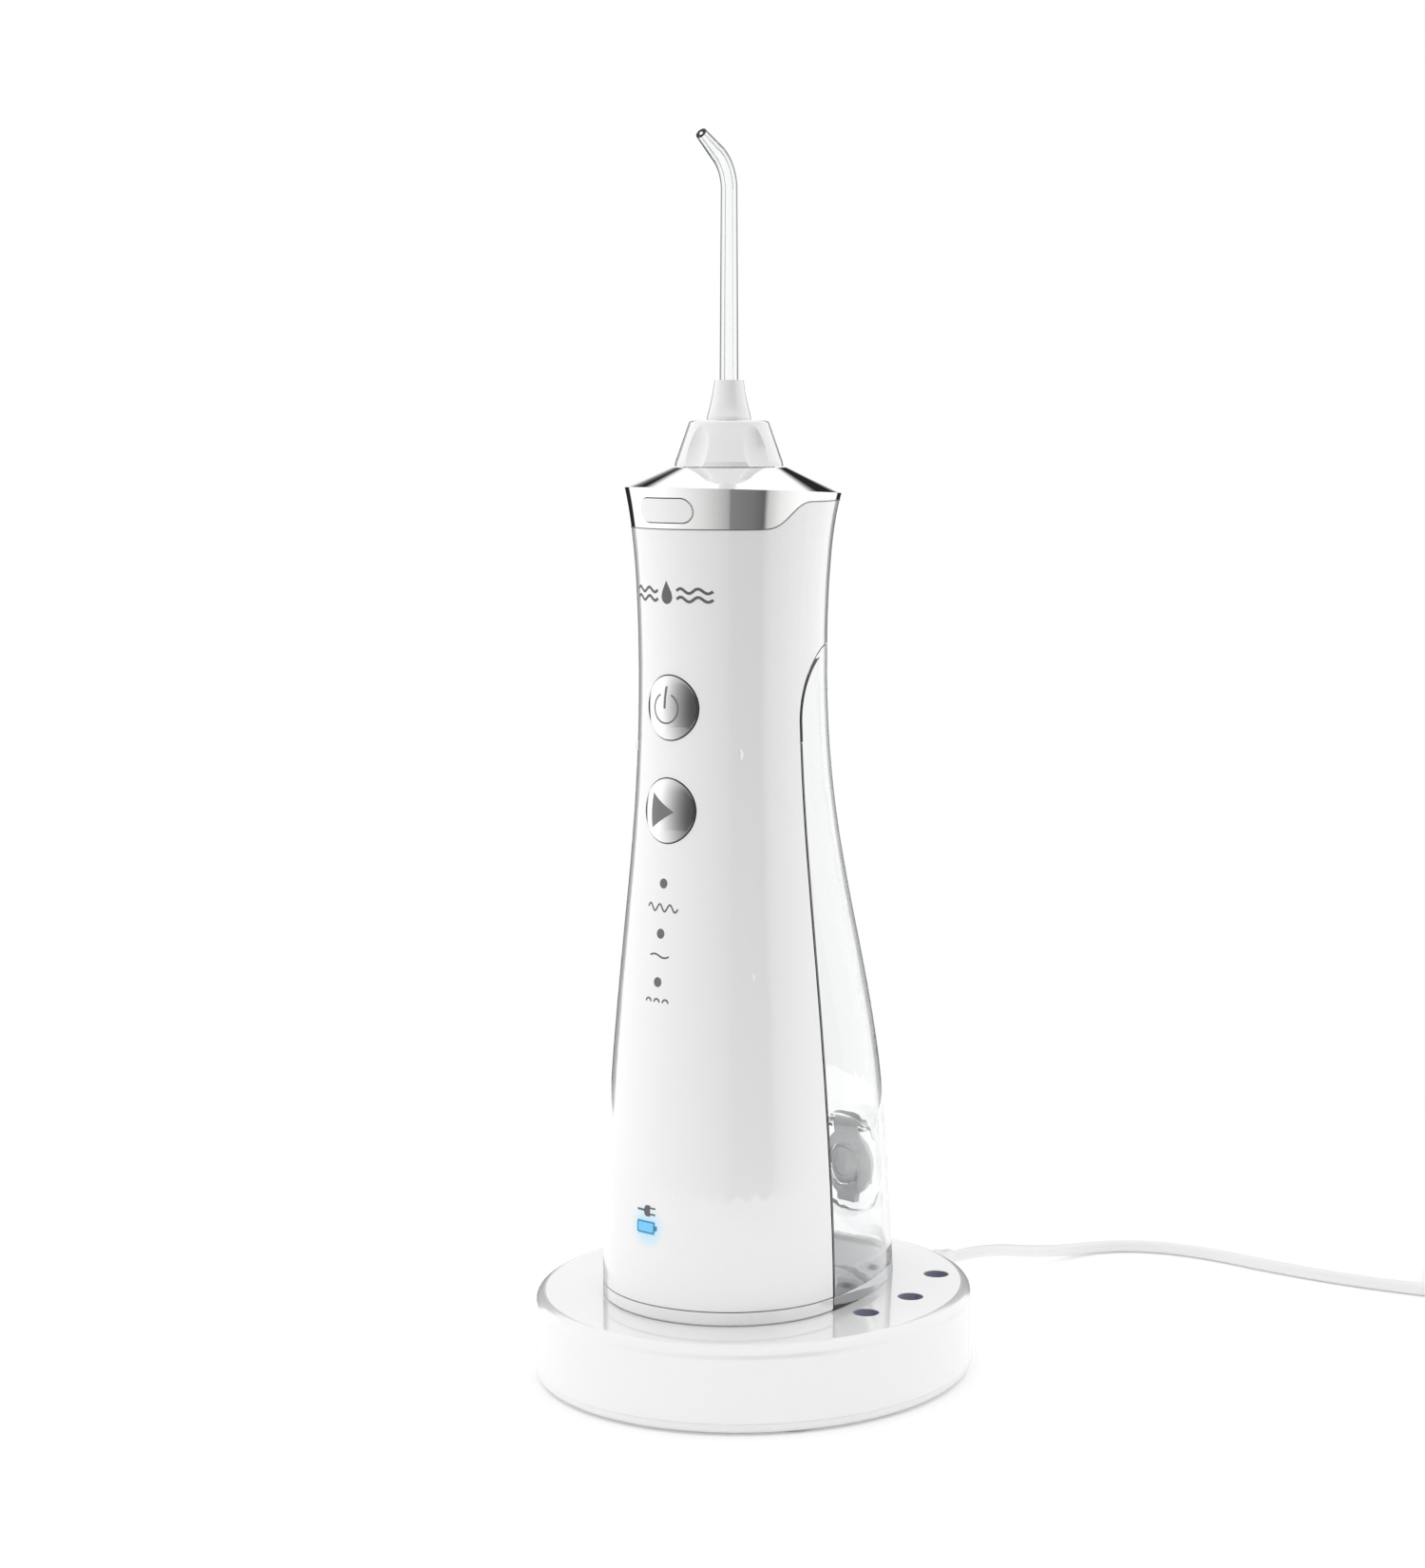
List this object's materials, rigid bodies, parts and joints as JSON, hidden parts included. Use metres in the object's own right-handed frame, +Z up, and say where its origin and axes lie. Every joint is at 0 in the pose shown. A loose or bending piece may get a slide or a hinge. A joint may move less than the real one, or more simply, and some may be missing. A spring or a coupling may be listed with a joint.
{
  "type": "water flosser",
  "caption": "Cordless water flosser with a clear rear tank, chrome collar and bent tip, standing on an oval charging base with tip wells and a corded plug.",
  "frame": {"origin": "centre of the charging base's footprint, at the level it stands on", "axes": "+Z up, -Y the front with the buttons, +X the side with the spare tip wells"},
  "size_m": [0.2206, 0.2991, 0.305],
  "materials": {
    "white_shell": "polished white ABS",
    "base_plate": "satin white ABS",
    "rubber_feet": "soft grey rubber",
    "well_liner": "blue-grey plastic",
    "steel": "plain steel",
    "copper": "enamelled copper winding",
    "ferrite": "dark ferrite",
    "board": "green solder mask",
    "cord": "soft white PVC",
    "plug": "satin white PVC",
    "blades": "nickel-plated brass",
    "chrome": "bright chrome plating",
    "button_chrome": "satin chrome plating",
    "release_pill": "white plastic with a chrome edge",
    "clear_tank": "clear moulded plastic",
    "clear_tip": "clear moulded plastic",
    "clear_hose": "translucent silicone hose",
    "silicone": "soft silicone",
    "port_cap": "soft translucent grey elastomer",
    "filter": "white plastic cage",
    "lens_grey": "smoked grey light pipe",
    "lens_blue": "blue lit window",
    "switch": "black plastic",
    "led": "clear epoxy",
    "cell": "shrink sleeve",
    "motor_steel": "drawn steel can",
    "gear_plastic": "acetal",
    "brass": "turned brass",
    "pump_plastic": "moulded acetal"
  },
  "bodies": {
    "charging_base": {"base_shell": "white_shell", "base_plate": "base_plate", "base_feet": "rubber_feet", "base_screws": "steel", "tip_cups": "well_liner", "primary_coil": "copper", "primary_core": "ferrite", "charger_board": "board", "cord_strain_relief": "cord", "power_cord": "cord", "cord_coil": "cord", "plug_body": "plug", "plug_blades": "blades"},
    "handle": {"front_housing": "white_shell", "rear_frame": "white_shell", "housing_screws": "steel", "handle_base_cap": "white_shell", "chrome_collar": "chrome", "button_seals": "silicone", "release_spring": "steel", "indicator_lenses": "lens_grey", "charge_lens": "lens_blue", "control_board": "board", "tact_switches": "switch", "indicator_leds": "led", "charge_board": "board", "battery_cell": "cell", "battery_clip": "blades", "secondary_coil": "copper", "secondary_core": "ferrite", "motor_can": "motor_steel", "gear_axle": "steel", "gearbox_frame": "gear_plastic", "pump_cylinder": "pump_plastic", "duckbill_valves": "silicone", "suction_hose": "clear_hose", "outlet_tube": "clear_hose", "nozzle_seat": "pump_plastic", "nozzle_oring": "silicone"},
    "reservoir": {"reservoir_tank": "clear_tank", "reservoir_front": "clear_tank", "reservoir_seal": "silicone", "intake_tube": "clear_hose", "intake_filter": "filter", "hinge_pin": "steel"},
    "port_cover": {"fill_cap": "port_cap", "fill_cap_seal": "silicone"},
    "power_key": {"power_button": "button_chrome"},
    "mode_key": {"mode_button": "button_chrome"},
    "release_key": {"release_button": "release_pill"},
    "rotor": {"motor_shaft": "steel", "drive_pinion": "brass"},
    "crank": {"crank_gear": "gear_plastic"},
    "plunger": {"piston": "gear_plastic", "piston_seal": "silicone", "wrist_pin": "steel"},
    "rod": {"connecting_rod": "gear_plastic"},
    "knob": {"nozzle_knob": "white_shell"},
    "nozzle": {"nozzle_collar": "white_shell", "nozzle_tube": "clear_tip"}
  },
  "joints": [
    {"name": "handle_lift", "type": "slide", "parent": "charging_base", "child": "handle", "axis": [0, 0, 1], "range_m": [0, 0.06]},
    {"name": "reservoir_slide", "type": "slide", "parent": "handle", "child": "reservoir", "axis": [0, 1, 0], "range_m": [0, 0.06]},
    {"name": "fill_cap_hinge", "type": "hinge", "parent": "reservoir", "child": "port_cover", "pos_m": [0, 0.03995, 0.0556], "axis": [1, 0, 0], "range_deg": [0, 110]},
    {"name": "power_press", "type": "slide", "parent": "handle", "child": "power_key", "axis": [0, 1, 0], "range_m": [0, 0.0008], "stiffness_N_per_m": 1500, "springref_m": -0.0004},
    {"name": "mode_press", "type": "slide", "parent": "handle", "child": "mode_key", "axis": [0, 1, 0], "range_m": [0, 0.0008], "stiffness_N_per_m": 1500, "springref_m": -0.0004},
    {"name": "release_press", "type": "slide", "parent": "handle", "child": "release_key", "axis": [0, 1, 0], "range_m": [0, 0.0015], "stiffness_N_per_m": 800, "springref_m": -0.001, "deforming": ["release_spring"]},
    {"name": "crank_spin", "type": "hinge", "parent": "handle", "child": "crank", "pos_m": [0.005, -0.02075, 0.078], "axis": [1, 0, 0], "continuous": true},
    {"name": "motor_spin", "type": "hinge", "parent": "handle", "child": "rotor", "pos_m": [0.011, -0.02075, 0.07], "axis": [0, 0, 1], "continuous": true},
    {"name": "piston_stroke", "type": "slide", "parent": "handle", "child": "plunger", "axis": [0, 0, 1], "range_m": [0, 0.006]},
    {"name": "conrod_swing", "type": "hinge", "parent": "plunger", "child": "rod", "pos_m": [0, -0.02075, 0.099], "axis": [1, 0, 0], "range_deg": [-7.2, 7.2]},
    {"name": "knob_turn", "type": "hinge", "parent": "handle", "child": "knob", "pos_m": [0, -0.01025, 0.2257], "axis": [0, 0, 1], "continuous": true},
    {"name": "nozzle_pull", "type": "slide", "parent": "knob", "child": "nozzle", "axis": [0, 0, 1], "range_m": [0, 0.034]}
  ],
  "couplings": [
    {"joint": "motor_spin", "follows": "crank_spin", "ratio": -2.6667}
  ]
}
